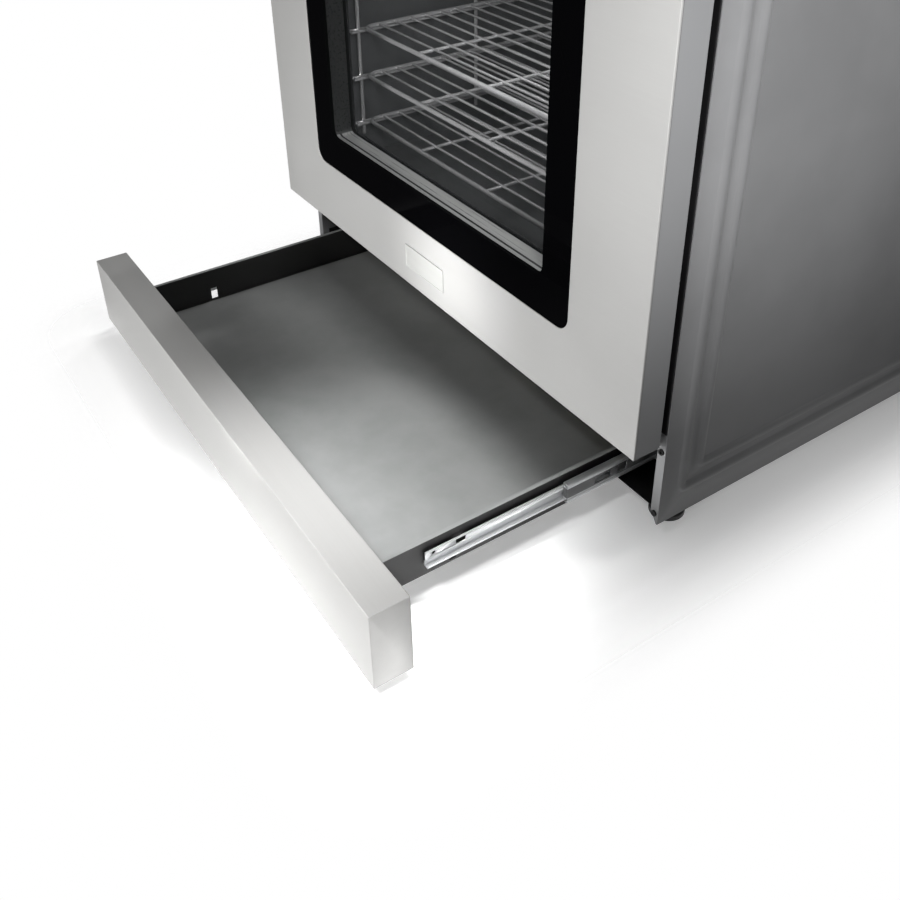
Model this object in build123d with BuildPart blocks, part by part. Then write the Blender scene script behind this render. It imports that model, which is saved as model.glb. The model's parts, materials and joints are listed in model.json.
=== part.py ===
"""Freestanding gas range, 30 inch class, with a wide storage drawer shown pulled open.

Millimetres, +Z up, +X to the right of someone facing the oven door, +Y towards the wall.
The origin is on the floor, at the centre of the footprint with the drawer in its open rest place.
"""

import os
from math import cos, radians, sin

from build123d import *

# ---------------------------------------------------------------- driving dimensions
body_width = 757.0  # over the flat side sheets
body_depth = 640.0  # front flange plane to the back panel
front = -149.5  # Y of the front flange plane
rear = front + body_depth
sheet = 1.2  # painted and stainless sheet
half = body_width / 2

floor_gap = 30.0  # floor to the lower edge of the side panels
deck_top = 914.0  # rim of the cooktop
deck_skirt = 893.0  # lower edge of the cooktop rim

bead_height = 2.5
bead_width = 14.0
bead_insets = ((29.0, 35.0), (51.5, 58.0))  # from the front edge, from the lower edge
front_flange = 11.0
flange_screw_heights = (43.0, 125.5)

door_width = 754.0
door_gap = 6.0
door_thickness = 37.0
door_bottom = 136.5
door_top = 782.0
door_face = front - door_gap - door_thickness
door_back = front - door_gap
hinge_y = door_face + 13.0
hinge_z = 150.5

glass_half = 268.0
glass_bottom = 226.0
glass_top = 650.0
glass_corner = 18.0
window_half = 224.0
window_bottom = 272.0
window_top = 604.0

drawer_width = 754.0
drawer_low = 15.0
drawer_high = 109.5
drawer_thickness = 42.5
drawer_gap = 2.5  # back of the drawer front to the flange plane when shut
drawer_out = 297.0  # how far the drawer stands out at rest
drawer_back = front - drawer_gap - drawer_out  # back face of the drawer front, at rest
tray_half = 304.5
tray_depth = 450.0
tray_floor = 37.0
tray_rim = 84.8
tray_sheet = 1.0

slide_z = 60.0
slide_setback = 58.0  # front flange plane to the front end of the fixed member
slide_length = 400.0
mid_length = 378.0
mid_setback = 79.0  # of the middle member when the drawer is shut

cavity_half = 300.0
cavity_low = 180.0
cavity_high = 620.0
cavity_depth = 470.0
oven_floor_z = 204.0
rack_levels = (256.0, 322.0, 388.0)
guide_levels = (256.0, 322.0, 388.0, 454.0, 520.0)

burner_x = 176.0
burner_rows = (front + 165.0, front + 445.0)
pan_floor = 902.0  # sunken floor of the cooktop
grate_top = 942.0

knob_z = 840.0
knob_xs = (-290.0, -145.0, 0.0, 145.0, 290.0)
knob_push = 3.0

foot_radius = 20.0
foot_xs = (-345.0, 345.0)
foot_ys = (front + 50.0, rear - 60.0)


def block(x, y, z, mode=Mode.ADD):
    """A box between two limits on each axis."""
    with Locations(((x[0] + x[1]) / 2, (y[0] + y[1]) / 2, (z[0] + z[1]) / 2)):
        Box(x[1] - x[0], y[1] - y[0], z[1] - z[0], mode=mode)


def rod(start, end, radius, mode=Mode.ADD):
    """A round bar from one point to another."""
    axis = Vector(*end) - Vector(*start)
    with Locations(Plane(origin=start, z_dir=axis.normalized())):
        Cylinder(radius, axis.length, align=(Align.CENTER, Align.CENTER, Align.MIN), mode=mode)


def save(builder, name):
    """Writes one finished piece under its own name."""
    builder.part.label = name
    export_step(builder.part, f"parts/{name}.step")


os.makedirs("parts", exist_ok=True)

# ---------------------------------------------------------------- cabinet shell

with BuildPart() as side_panel_right:
    block((half - sheet, half), (front, rear), (floor_gap, deck_skirt))
    block((half - front_flange, half), (front, front + sheet), (floor_gap, deck_skirt))
    block((half - 14, half), (rear - sheet, rear), (floor_gap, deck_skirt))
    for inset_y, inset_z in bead_insets:
        low_y, high_y = front + inset_y, rear - inset_y
        low_z, high_z = floor_gap + inset_z, deck_skirt - inset_z
        corners = [(half, low_y, low_z), (half, high_y, low_z), (half, high_y, high_z), (half, low_y, high_z)]
        middle = (half, (low_y + high_y) / 2, low_z)
        for depth, mode in ((0.0, Mode.ADD), (-sheet, Mode.SUBTRACT)):
            with BuildLine() as bead_path:
                FilletPolyline(middle, *corners[1:], corners[0], close=True, radius=(0, 9, 9, 9, 9))
            with BuildSketch(Plane(origin=middle, x_dir=(1, 0, 0), z_dir=(0, 1, 0))):
                with BuildLine():
                    Line((depth, -bead_width / 2), (depth, bead_width / 2))
                    ThreePointArc(
                        (depth, bead_width / 2), (depth + bead_height, 0), (depth, -bead_width / 2)
                    )
                make_face()
            sweep(path=bead_path.wire(), mode=mode)
    # lower inner corner of the front flange is cut off at a slant
    with BuildSketch(Plane.XZ.offset(-front - sheet)):
        with BuildLine():
            Polyline(
                (half - front_flange - 1, floor_gap + 14),
                (half - front_flange - 1, floor_gap - 1),
                (half - sheet, floor_gap - 1),
                (half - front_flange, floor_gap + 14),
                close=True,
            )
        make_face()
    extrude(amount=sheet, mode=Mode.SUBTRACT)
    for height in flange_screw_heights:
        rod((half - 5.5, front - 1, height), (half - 5.5, front + 2, height), 2.1, Mode.SUBTRACT)
save(side_panel_right, "side_panel_right")

with BuildPart() as side_panel_left:
    mirror(side_panel_right.part, about=Plane.YZ)
save(side_panel_left, "side_panel_left")

back_low, back_half = floor_gap + 4, half - 15
with BuildPart() as back_panel:
    block((-back_half, back_half), (rear - 1.0, rear), (back_low, deck_skirt - 2))
    for side in (-1, 1):
        block(
            sorted((side * back_half, side * (back_half - 1))),
            (rear - 14, rear),
            (back_low, deck_skirt - 2),
        )
    with BuildSketch(Plane.XZ.offset(-rear)):
        with Locations((0, 300), (0, 640)):
            with GridLocations(44, 0, 9, 1):
                SlotOverall(60, 6, rotation=90)
    extrude(amount=2, mode=Mode.SUBTRACT)
    rod((250, rear - 2, 838), (250, rear + 2, 838), 16, Mode.SUBTRACT)
save(back_panel, "back_panel")

pan_half = half - sheet - 0.3
pan_front = front + 15
foot_places = [(x, y) for x in foot_xs for y in foot_ys]
with BuildPart() as base_pan:
    block((-pan_half, pan_half), (pan_front, rear - 16), (31.0, 32.2))
    for side in (-1, 1):
        block(
            sorted((side * pan_half, side * (pan_half - sheet))),
            (pan_front, rear - 16),
            (31.0, 52.0),
        )
    for x, y in foot_places:
        with Locations((x, y, 31.0)):
            Cylinder(11, 20, align=(Align.CENTER, Align.CENTER, Align.MIN))
            Cylinder(5.1, 60, mode=Mode.SUBTRACT)
save(base_pan, "base_pan")

frame_half = half - 1.0
frame_low = 150.0
mouth_low, mouth_high = oven_floor_z + 2.0, cavity_high
with BuildPart() as front_frame:
    block((-frame_half, frame_half), (front - 1.5, front - 0.1), (frame_low, door_top + 2))
    with BuildSketch(Plane.XZ.offset(-front)):
        with Locations((0, (mouth_low + mouth_high) / 2)):
            RectangleRounded(2 * cavity_half, mouth_high - mouth_low, 12)
    extrude(amount=3, both=True, mode=Mode.SUBTRACT)
    for side in (-1, 1):
        notch_x = (side * 340 - 5, side * 340 + 5)
        block(notch_x, (front - 2, front + 1), (149, 168), Mode.SUBTRACT)
save(front_frame, "front_frame")

with BuildPart() as cabinet_screws:
    for side in (-1, 1):
        x = side * (half - 5.5)
        for height in flange_screw_heights:
            rod((x, front + 6, height), (x, front, height), 2.0)
            with Locations(Plane(origin=(x, front, height), z_dir=(0, -1, 0))):
                Cylinder(3.6, 1.8, align=(Align.CENTER, Align.CENTER, Align.MIN))
                with Locations((0, 0, 1.8)):
                    Box(0.9, 4.2, 1.6, mode=Mode.SUBTRACT)
                    Box(4.2, 0.9, 1.6, mode=Mode.SUBTRACT)
save(cabinet_screws, "cabinet_screws")

# ---------------------------------------------------------------- levelling feet

foot_names = ("foot_left_front", "foot_left_rear", "foot_right_front", "foot_right_rear")
for name, (x, y) in zip(foot_names, foot_places):
    with BuildPart() as foot:
        with Locations((x, y, 0)):
            Cylinder(foot_radius, 9, align=(Align.CENTER, Align.CENTER, Align.MIN))
        fillet(foot.edges().group_by(Axis.Z)[-1], radius=3)
        chamfer(foot.edges().group_by(Axis.Z)[0], length=0.8)
        with Locations((x, y, 9)):
            Cylinder(13, 9, align=(Align.CENTER, Align.CENTER, Align.MIN))
        with Locations((x, y, 18)):
            Cylinder(5.0, 36, align=(Align.CENTER, Align.CENTER, Align.MIN))
    save(foot, name)

# ---------------------------------------------------------------- drawer

drawer_face = drawer_back - drawer_thickness
drawer_half = drawer_width / 2
with BuildPart() as drawer_front:
    block((-drawer_half, drawer_half), (drawer_face, drawer_back), (drawer_low, drawer_high))
    fillet(drawer_front.edges().filter_by(Axis.X), radius=1.0)
    fillet(drawer_front.edges().filter_by(Axis.Z), radius=1.0)
    block(
        (-drawer_half + sheet, drawer_half - sheet),
        (drawer_face + sheet, drawer_back + 1),
        (drawer_low + sheet, drawer_high - sheet),
        Mode.SUBTRACT,
    )
save(drawer_front, "drawer_front")

with BuildPart() as drawer_front_back:
    block(
        (-drawer_half + sheet + 0.1, drawer_half - sheet - 0.1),
        (drawer_back - 1.2, drawer_back - 0.2),
        (drawer_low + sheet + 0.1, drawer_high - sheet - 0.1),
    )
    for low, high in ((drawer_low + 1.4, drawer_low + 2.4), (drawer_high - 2.4, drawer_high - 1.4)):
        block((-drawer_half + 2, drawer_half - 2), (drawer_back - 16, drawer_back - 0.2), (low, high))
save(drawer_front_back, "drawer_front_back")

tray_front, tray_rear = drawer_back - 0.2, drawer_back + tray_depth
slot_places = (drawer_back + 92,)
with BuildPart() as drawer_tray:
    block((-tray_half, tray_half), (tray_front, tray_rear), (tray_floor, tray_rim))
    block(
        (-tray_half + tray_sheet, tray_half - tray_sheet),
        (tray_front + tray_sheet, tray_rear - tray_sheet),
        (tray_floor + tray_sheet, tray_rim + 1),
        Mode.SUBTRACT,
    )
    for side in (-1, 1):
        block(
            sorted((side * (tray_half - 0.5), side * (tray_half + 3.5))),
            (tray_front, tray_rear),
            (tray_rim - 1.0, tray_rim),
        )
        for y in slot_places:
            block(
                sorted((side * (tray_half - 2), side * (tray_half + 1))),
                (y - 4.5, y + 4.5),
                (tray_floor + 2.5, tray_floor + 19),
                Mode.SUBTRACT,
            )
    block((-tray_half, tray_half), (tray_rear, tray_rear + 3.5), (tray_rim - 1.0, tray_rim))
save(drawer_tray, "drawer_tray")

# ---------------------------------------------------------------- drawer slides
# Each slide is three nested channels, and u runs outwards from the tray wall.

slide_sheet = 1.0


def channel(side, y, web, lips, rise, curl, curl_depth):
    """A slide member along Y: a web, two lips reaching sideways from it, and their curled edges."""
    lip_low = (-rise, -rise + slide_sheet)
    lip_high = (rise - slide_sheet, rise)
    curl_low = (-rise, -rise + curl_depth)
    curl_high = (rise - curl_depth, rise)
    for u, z in (
        (web, (-rise, rise)),
        (lips, lip_low),
        (lips, lip_high),
        (curl, curl_low),
        (curl, curl_high),
    ):
        x = sorted((side * (tray_half + u[0]), side * (tray_half + u[1])))
        block(x, y, (slide_z + z[0], slide_z + z[1]))


inner_y = (drawer_back + slide_setback, drawer_back + slide_setback + slide_length)
with BuildPart() as slide_drawer_members:
    for side in (-1, 1):
        channel(side, inner_y, (0.05, 1.05), (0.05, 7.2), 9.8, (6.2, 7.2), 3.2)
        x = side * (tray_half + 0.5)
        for y in (inner_y[0] + 10, inner_y[1] - 30):
            rod((x - 2, y, slide_z + 1.5), (x + 2, y, slide_z + 1.5), 2.6, Mode.SUBTRACT)
        block((x - 2, x + 2), (inner_y[0] + 38, inner_y[0] + 52), (slide_z - 3, slide_z + 6), Mode.SUBTRACT)
save(slide_drawer_members, "slide_drawer_members")

mid_front = front + mid_setback - drawer_out / 2
for name, side in (("slide_middle_left", -1), ("slide_middle_right", 1)):
    with BuildPart() as slide_middle:
        channel(side, (mid_front, mid_front + mid_length), (9.2, 10.2), (2.0, 10.2), 12.4, (2.0, 3.0), 2.3)
        x = side * (tray_half + 9.7)
        for start, width, high in ((38, 22, 4.5), (70, 13, 5.5), (300, 20, 4.5)):
            block(
                (x - 2, x + 2),
                (mid_front + start, mid_front + start + width),
                (slide_z - 4.5, slide_z + high),
                Mode.SUBTRACT,
            )
    save(slide_middle, name)

outer_y = (front + slide_setback, front + slide_setback + slide_length)
with BuildPart() as slide_cabinet_members:
    for side in (-1, 1):
        channel(side, outer_y, (11.7, 12.7), (3.9, 12.7), 14.0, (3.9, 4.9), 1.0)
save(slide_cabinet_members, "slide_cabinet_members")

with BuildPart() as slide_brackets:
    for side in (-1, 1):
        wall = sorted((side * (tray_half + 12.75), side * (tray_half + 14.25)))
        foot_flange = sorted((side * (tray_half + 12.75), side * (tray_half + 30)))
        block(wall, outer_y, (32.25, 86.0))
        block(foot_flange, outer_y, (32.25, 33.75))
save(slide_brackets, "slide_brackets")

# ---------------------------------------------------------------- oven door

door_half = door_width / 2
glass_mid = (glass_bottom + glass_top) / 2
window_mid = (window_bottom + window_top) / 2
slot_xs = (-340.0, 340.0)
with BuildPart() as door_skin:
    block((-door_half, door_half), (door_face, door_back - 2.0), (door_bottom, door_top))
    fillet(door_skin.edges().filter_by(Axis.Z), radius=1.0)
    fillet(door_skin.edges().filter_by(Axis.X), radius=1.0)
    block(
        (-door_half + sheet, door_half - sheet),
        (door_face + sheet, door_back + 1),
        (door_bottom + sheet, door_top - sheet),
        Mode.SUBTRACT,
    )
    with BuildSketch(Plane.XZ.offset(-door_face)):
        with Locations((0, glass_mid)):
            RectangleRounded(2 * glass_half, glass_top - glass_bottom, glass_corner)
    extrude(amount=-3, mode=Mode.SUBTRACT)
    rim = door_skin.edges().filter_by_position(Axis.Z, glass_bottom - 1, glass_top + 1)
    rim = rim.filter_by_position(Axis.Y, door_face - 0.1, door_face + 0.1)
    rim = rim.filter_by_position(Axis.X, -glass_half - 1, glass_half + 1)
    fillet(rim, radius=0.9)
    for x in slot_xs:
        notch_z = (door_bottom - 1, door_bottom + 2)
        block((x - 6, x + 6), (door_face + 5, door_back + 1), notch_z, Mode.SUBTRACT)
save(door_skin, "door_skin")

outer_glass_y = (door_face + sheet + 0.1, door_face + sheet + 4.1)
with BuildPart() as door_outer_glass:
    block((-glass_half - 14, glass_half + 14), outer_glass_y, (glass_bottom - 14, glass_top + 14))
save(door_outer_glass, "door_outer_glass")

spacer_y = (outer_glass_y[1] + 0.1, door_back - 7.2)
with BuildPart() as door_window_frame:
    block((-window_half - 14, window_half + 14), spacer_y, (window_bottom - 14, window_top + 14))
    with BuildSketch(Plane.XZ.offset(-spacer_y[0])):
        with Locations((0, window_mid)):
            RectangleRounded(2 * window_half, window_top - window_bottom, 10)
    extrude(amount=40, both=True, mode=Mode.SUBTRACT)
    with BuildSketch(Plane.XZ.offset(-spacer_y[0])):
        with Locations((0, window_mid)):
            RectangleRounded(2 * window_half + 26, window_top - window_bottom + 26, 12)
            RectangleRounded(2 * window_half + 2, window_top - window_bottom + 2, 11, mode=Mode.SUBTRACT)
    extrude(amount=-(spacer_y[1] - spacer_y[0] - 1), mode=Mode.SUBTRACT)
save(door_window_frame, "door_window_frame")

inner_glass_y = (door_back - 7.1, door_back - 3.1)
with BuildPart() as door_inner_glass:
    block((-window_half - 12, window_half + 12), inner_glass_y, (window_bottom - 12, window_top + 12))
save(door_inner_glass, "door_inner_glass")

with BuildPart() as door_liner:
    block((-door_half + 2, door_half - 2), (door_back - 1.6, door_back), (door_bottom + 1, door_top - 1))
    block(
        (-window_half - 26, window_half + 26),
        (door_back - 3.0, door_back - 1.6),
        (window_bottom - 26, window_top + 26),
    )
    with BuildSketch(Plane.XZ.offset(-door_back)):
        with Locations((0, window_mid)):
            RectangleRounded(2 * window_half, window_top - window_bottom, 12)
    extrude(amount=4, both=True, mode=Mode.SUBTRACT)
    for x in slot_xs:
        notch_z = (door_bottom, hinge_z + 14)
        block((x - 6, x + 6), (door_back - 4, door_back + 1), notch_z, Mode.SUBTRACT)
save(door_liner, "door_liner")

handle_y = door_face - 46.0
handle_z = 718.0
with BuildPart() as door_handle:
    rod((-345, handle_y, handle_z), (345, handle_y, handle_z), 14)
    fillet(door_handle.edges().group_by(Axis.X)[0] + door_handle.edges().group_by(Axis.X)[-1], radius=3)
save(door_handle, "door_handle")

with BuildPart() as handle_posts:
    for x in (-300, 300):
        rod((x, door_face - 0.05, handle_z), (x, handle_y, handle_z), 10)
        rod((x, door_face - 0.05, handle_z), (x, door_face - 5, handle_z), 14)
    rod((-330, handle_y, handle_z), (330, handle_y, handle_z), 14.02, Mode.SUBTRACT)
save(handle_posts, "handle_posts")

pin_radius = 3.0
with BuildPart() as door_hinge_arms:
    for x in slot_xs:
        for x0, x1 in ((x - 8.5, x - 5.5), (x + 5.5, x + 8.5)):
            block((x0, x1), (hinge_y - 8, hinge_y + 8), (hinge_z - 8, hinge_z + 62))
        block((x - 8.5, x + 8.5), (hinge_y - 8, hinge_y - 5), (hinge_z + 30, hinge_z + 160))
        rod((x - 12, hinge_y, hinge_z), (x + 12, hinge_y, hinge_z), pin_radius + 0.06, Mode.SUBTRACT)
save(door_hinge_arms, "door_hinge_arms")

with BuildPart() as hinge_receivers:
    for x in slot_xs:
        block((x - 3, x + 3), (hinge_y - 6, front + 40), (hinge_z - 6, hinge_z + 6))
        block((x - 3, x + 3), (front + 2, front + 40), (hinge_z - 6, hinge_z + 34))
        rod((x - 8.4, hinge_y, hinge_z), (x + 8.4, hinge_y, hinge_z), pin_radius)
save(hinge_receivers, "hinge_receivers")

badge_z = 177.0
with BuildPart() as door_badge_plate:
    block((-42, 42), (door_face - 1.5, door_face - 0.05), (badge_z - 15.5, badge_z + 15.5))
    fillet(door_badge_plate.edges().filter_by(Axis.Y), radius=1.5)
    fillet(door_badge_plate.faces().sort_by(Axis.Y)[0].edges(), radius=0.6)
save(door_badge_plate, "door_badge_plate")

with BuildPart() as oven_gasket:
    block((-324, 324), (door_back + 0.4, front - 1.6), (mouth_low - 22, mouth_high + 22))
    fillet(oven_gasket.edges().filter_by(Axis.Y), radius=30)
    with BuildSketch(Plane.XZ.offset(-front + 10)):
        with Locations((0, (mouth_low + mouth_high) / 2)):
            RectangleRounded(2 * 324 - 20, mouth_high - mouth_low + 24, 20)
    extrude(amount=-20, mode=Mode.SUBTRACT)
save(oven_gasket, "oven_gasket")

# ---------------------------------------------------------------- oven cavity

cavity_sheet = 1.5
cavity_back = front + cavity_depth
with BuildPart() as oven_cavity:
    block(
        (-cavity_half - cavity_sheet, cavity_half + cavity_sheet),
        (front + 0.1, cavity_back + cavity_sheet),
        (cavity_low - cavity_sheet, cavity_high + cavity_sheet),
    )
    block((-cavity_half, cavity_half), (front - 1, cavity_back), (cavity_low, cavity_high), Mode.SUBTRACT)
    for z in (250, 560):
        with BuildSketch(Plane.XZ.offset(-cavity_back)):
            with Locations((0, z)):
                with GridLocations(30, 0, 8, 1):
                    SlotOverall(36, 5, rotation=90)
        extrude(amount=-4, mode=Mode.SUBTRACT)
save(oven_cavity, "oven_cavity")

with BuildPart() as oven_insulation:
    block((-336, 336), (front + 4, cavity_back + 36), (cavity_low - 22, cavity_high + 40))
    block(
        (-cavity_half - 1.6, cavity_half + 1.6),
        (front - 1, cavity_back + 1.6),
        (cavity_low - 1.6, cavity_high + 1.6),
        Mode.SUBTRACT,
    )
    for x in slot_xs:
        block((x - 12, x + 12), (front, front + 44), (cavity_low - 30, hinge_z + 40), Mode.SUBTRACT)
save(oven_insulation, "oven_insulation")

with BuildPart() as oven_floor_plate:
    block((-294, 294), (front + 3, cavity_back - 12), (oven_floor_z - 1.5, oven_floor_z))
    block((-294, 294), (front + 3, front + 4.5), (oven_floor_z - 20, oven_floor_z))
    with BuildSketch(Plane.XY.offset(oven_floor_z)):
        with Locations((0, front + 30), (0, cavity_back - 40)):
            with GridLocations(60, 0, 8, 1):
                SlotOverall(40, 5)
    extrude(amount=-3, mode=Mode.SUBTRACT)
save(oven_floor_plate, "oven_floor_plate")

with BuildPart() as bake_burner:
    with BuildLine() as burner_run:
        FilletPolyline(
            (-150, cavity_back - 3, 190),
            (-150, front + 60, 190),
            (150, front + 60, 190),
            (150, cavity_back - 80, 190),
            radius=40,
        )
    with BuildSketch(Plane(origin=burner_run.line @ 0, z_dir=burner_run.line % 0)):
        Circle(7)
    sweep(path=burner_run.wire())
save(bake_burner, "bake_burner")

with BuildPart() as broil_burner:
    block((-150, 150), (front + 120, front + 330), (cavity_high - 26, cavity_high - 8))
    fillet(broil_burner.edges().filter_by(Axis.Z), radius=20)
    with Locations((0, front + 225, cavity_high - 26)):
        with GridLocations(34, 34, 8, 6):
            Box(24, 24, 3, mode=Mode.SUBTRACT)
    for x in (-120, 120):
        rod((x, front + 225, cavity_high - 9), (x, front + 225, cavity_high - 0.1), 5)
    rod((0, front + 325, cavity_high - 17), (0, cavity_back - 0.5, cavity_high - 17), 8)
save(broil_burner, "broil_burner")

guide_xs = (296.0, 288.0)
guide_y = (front + 30, cavity_back - 20)
with BuildPart() as rack_guides:
    for side in (-1, 1):
        for y in (guide_y[0] + 15, (guide_y[0] + guide_y[1]) / 2, guide_y[1] - 15):
            rod((side * guide_xs[0], y, 232), (side * guide_xs[0], y, 548), 2.6)
        for z in guide_levels:
            for x in guide_xs:
                rod((side * x, guide_y[0], z - 6), (side * x, guide_y[1], z - 6), 2.2)
            for y in (guide_y[0] + 3, guide_y[1] - 3):
                rod((side * guide_xs[0], y, z - 6), (side * guide_xs[1], y, z - 6), 1.8)
save(rack_guides, "rack_guides")

rack_half, rack_y = 284.0, (front + 46, front + 446)
rim_radius, wire_radius = 3.0, 1.7
for name, level in zip(("rack_lower", "rack_middle", "rack_upper"), rack_levels):
    z = level
    with BuildPart() as rack:
        with BuildLine() as rim_path:
            FilletPolyline(
                (0, rack_y[0], z),
                (-rack_half, rack_y[0], z),
                (-rack_half, rack_y[1], z),
                (rack_half, rack_y[1], z),
                (rack_half, rack_y[0], z),
                close=True,
                radius=(0, 16, 16, 16, 16),
            )
        with BuildSketch(Plane(origin=(0, rack_y[0], z), z_dir=(-1, 0, 0))):
            Circle(rim_radius)
        sweep(path=rim_path.wire())
        for count in range(1, 16):
            y = rack_y[0] + count * (rack_y[1] - rack_y[0]) / 16
            rod((-rack_half, y, z + 0.6), (rack_half, y, z + 0.6), wire_radius)
        for x in (-150, 0, 150):
            rod((x, rack_y[0], z - 1.6), (x, rack_y[1], z - 1.6), 2.2)
    save(rack, name)

# ---------------------------------------------------------------- cooktop

deck_y = (door_face, rear)
deck_mid = (deck_y[0] + deck_y[1]) / 2
pan_y = (front + 12, rear - 62)
pan_centre = (pan_y[0] + pan_y[1]) / 2
with BuildPart() as cooktop_deck:
    block((-half, half), deck_y, (deck_skirt, deck_top))
    fillet(cooktop_deck.edges().filter_by(Axis.Z), radius=4)
    fillet(cooktop_deck.faces().sort_by(Axis.Z)[-1].edges(), radius=3)
    with BuildSketch(Plane.XY.offset(deck_top)):
        with Locations((0, pan_centre)):
            RectangleRounded(body_width - 44, pan_y[1] - pan_y[0], 16)
    extrude(amount=-(deck_top - pan_floor), taper=18, mode=Mode.SUBTRACT)
    with BuildSketch(Plane.XY.offset(deck_skirt)):
        with Locations((0, deck_mid)):
            Rectangle(body_width - 3, deck_y[1] - deck_y[0] - 3)
    extrude(amount=pan_floor - 1.5 - deck_skirt, mode=Mode.SUBTRACT)
    for x in (-burner_x, burner_x):
        for y in burner_rows:
            with Locations((x, y, pan_floor)):
                Cylinder(22, 20, mode=Mode.SUBTRACT)
save(cooktop_deck, "cooktop_deck")

burner_sizes = (40.0, 34.0, 48.0, 40.0)  # left front, left rear, right front, right rear
burner_spots = [(x, y) for x in (-burner_x, burner_x) for y in burner_rows]
with BuildPart() as burner_heads:
    for (x, y), radius in zip(burner_spots, burner_sizes):
        with BuildPart(mode=Mode.PRIVATE) as head:
            with Locations((x, y, pan_floor)):
                Cylinder(radius + 6, 4, align=(Align.CENTER, Align.CENTER, Align.MIN))
                Cylinder(radius - 2, 16, align=(Align.CENTER, Align.CENTER, Align.MIN))
            with Locations((x, y, pan_floor - 30)):
                Cylinder(21.5, 30, align=(Align.CENTER, Align.CENTER, Align.MIN))
            with Locations((x, y, pan_floor - 31)):
                Cylinder(12, 44, align=(Align.CENTER, Align.CENTER, Align.MIN), mode=Mode.SUBTRACT)
            with Locations((x, y, pan_floor + 12.5)):
                with PolarLocations(radius - 4, 28):
                    Box(8, 2.2, 5, mode=Mode.SUBTRACT)
        add(head.part)
save(burner_heads, "burner_heads")

with BuildPart() as burner_caps:
    for (x, y), radius in zip(burner_spots, burner_sizes):
        with Locations((x, y, pan_floor + 16.05)):
            Cylinder(radius, 7, align=(Align.CENTER, Align.CENTER, Align.MIN))
    fillet(burner_caps.edges().group_by(Axis.Z)[-1], radius=3.5)
    fillet(burner_caps.edges().group_by(Axis.Z)[0], radius=1.0)
save(burner_caps, "burner_caps")

with BuildPart() as igniters:
    for (x, y), radius in zip(burner_spots, burner_sizes):
        reach = (radius + 11) * cos(radians(45))
        with Locations((x + reach, y - (radius + 11) * sin(radians(45)), pan_floor)):
            Cylinder(3.6, 12, align=(Align.CENTER, Align.CENTER, Align.MIN))
            Cylinder(1.0, 17, align=(Align.CENTER, Align.CENTER, Align.MIN))
save(igniters, "igniters")

bar = 11.0
bar_low = grate_top - 13.0
grate_y = (pan_y[0] + 10, pan_y[1] - 10)
finger_free = 26.0
for name, side in (("grate_left", -1), ("grate_right", 1)):
    with BuildPart() as grate:
        grate_x = sorted((side * 3.0, side * (half - 30)))
        block(grate_x, grate_y, (bar_low, grate_top))
        inner_x = (grate_x[0] + bar, grate_x[1] - bar)
        block(inner_x, (grate_y[0] + bar, grate_y[1] - bar), (bar_low - 1, grate_top + 1), Mode.SUBTRACT)
        fillet(grate.edges().filter_by(Axis.Z), radius=8)
        middle_y = (grate_y[0] + grate_y[1]) / 2
        block(inner_x, (middle_y - bar / 2, middle_y + bar / 2), (bar_low, grate_top))
        for y, low_y, high_y in (
            (burner_rows[0], grate_y[0] + 2, middle_y),
            (burner_rows[1], middle_y, grate_y[1] - 2),
        ):
            x = side * burner_x
            block((grate_x[0] + 2, x - finger_free), (y - bar / 2, y + bar / 2), (bar_low, grate_top))
            block((x + finger_free, grate_x[1] - 2), (y - bar / 2, y + bar / 2), (bar_low, grate_top))
            for finger_x in (x - 86, x, x + 86):
                gap = finger_free if finger_x == x else 62.0
                block((finger_x - bar / 2, finger_x + bar / 2), (low_y, y - gap), (bar_low, grate_top))
                block((finger_x - bar / 2, finger_x + bar / 2), (y + gap, high_y), (bar_low, grate_top))
        for x in (grate_x[0] + bar / 2 + 2, grate_x[1] - bar / 2 - 2):
            for y in (grate_y[0] + bar / 2 + 2, middle_y, grate_y[1] - bar / 2 - 2):
                with Locations((x, y, pan_floor + 0.05)):
                    Cylinder(5.5, bar_low - pan_floor + 1, align=(Align.CENTER, Align.CENTER, Align.MIN))
        chamfer(grate.faces().filter_by(Plane.XY).sort_by(Axis.Z)[-1].edges(), length=1.6)
    save(grate, name)

guard_y = (rear - 42, rear)
with BuildPart() as backguard:
    block((-half, half), guard_y, (deck_top + 0.05, deck_top + 46))
    fillet(backguard.edges().filter_by(Axis.X).group_by(Axis.Z)[-1], radius=4)
    block(
        (-half + sheet, half - sheet),
        (guard_y[0] + sheet, guard_y[1] - sheet),
        (deck_top - 1, deck_top + 46 - sheet),
        Mode.SUBTRACT,
    )
    with BuildSketch(Plane.XY.offset(deck_top + 46)):
        with Locations((0, rear - 20)):
            with GridLocations(62, 0, 11, 1):
                SlotOverall(50, 7)
    extrude(amount=-4, mode=Mode.SUBTRACT)
save(backguard, "backguard")

# ---------------------------------------------------------------- controls and gas train

panel_low = door_top + 5.0
with BuildPart() as control_panel:
    block((-half, half), (door_face, front + 30), (panel_low, deck_skirt - 0.1))
    fillet(control_panel.edges().filter_by(Axis.X).group_by(Axis.Y)[0].group_by(Axis.Z)[0], radius=3)
    fillet(control_panel.edges().filter_by(Axis.Z).group_by(Axis.Y)[0], radius=1.5)
    block(
        (-half + sheet, half - sheet),
        (door_face + 1.5, front + 31),
        (panel_low + sheet, deck_skirt + 1),
        Mode.SUBTRACT,
    )
    for side in (-1, 1):
        block(
            sorted((side * (half - 11.5), side * (half + 1))),
            (front - 0.1, front + 31),
            (panel_low - 1, deck_skirt + 1),
            Mode.SUBTRACT,
        )
    for x in knob_xs:
        rod((x, door_face - 1, knob_z), (x, door_face + 3, knob_z), 6.5, Mode.SUBTRACT)
save(control_panel, "control_panel")

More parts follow.
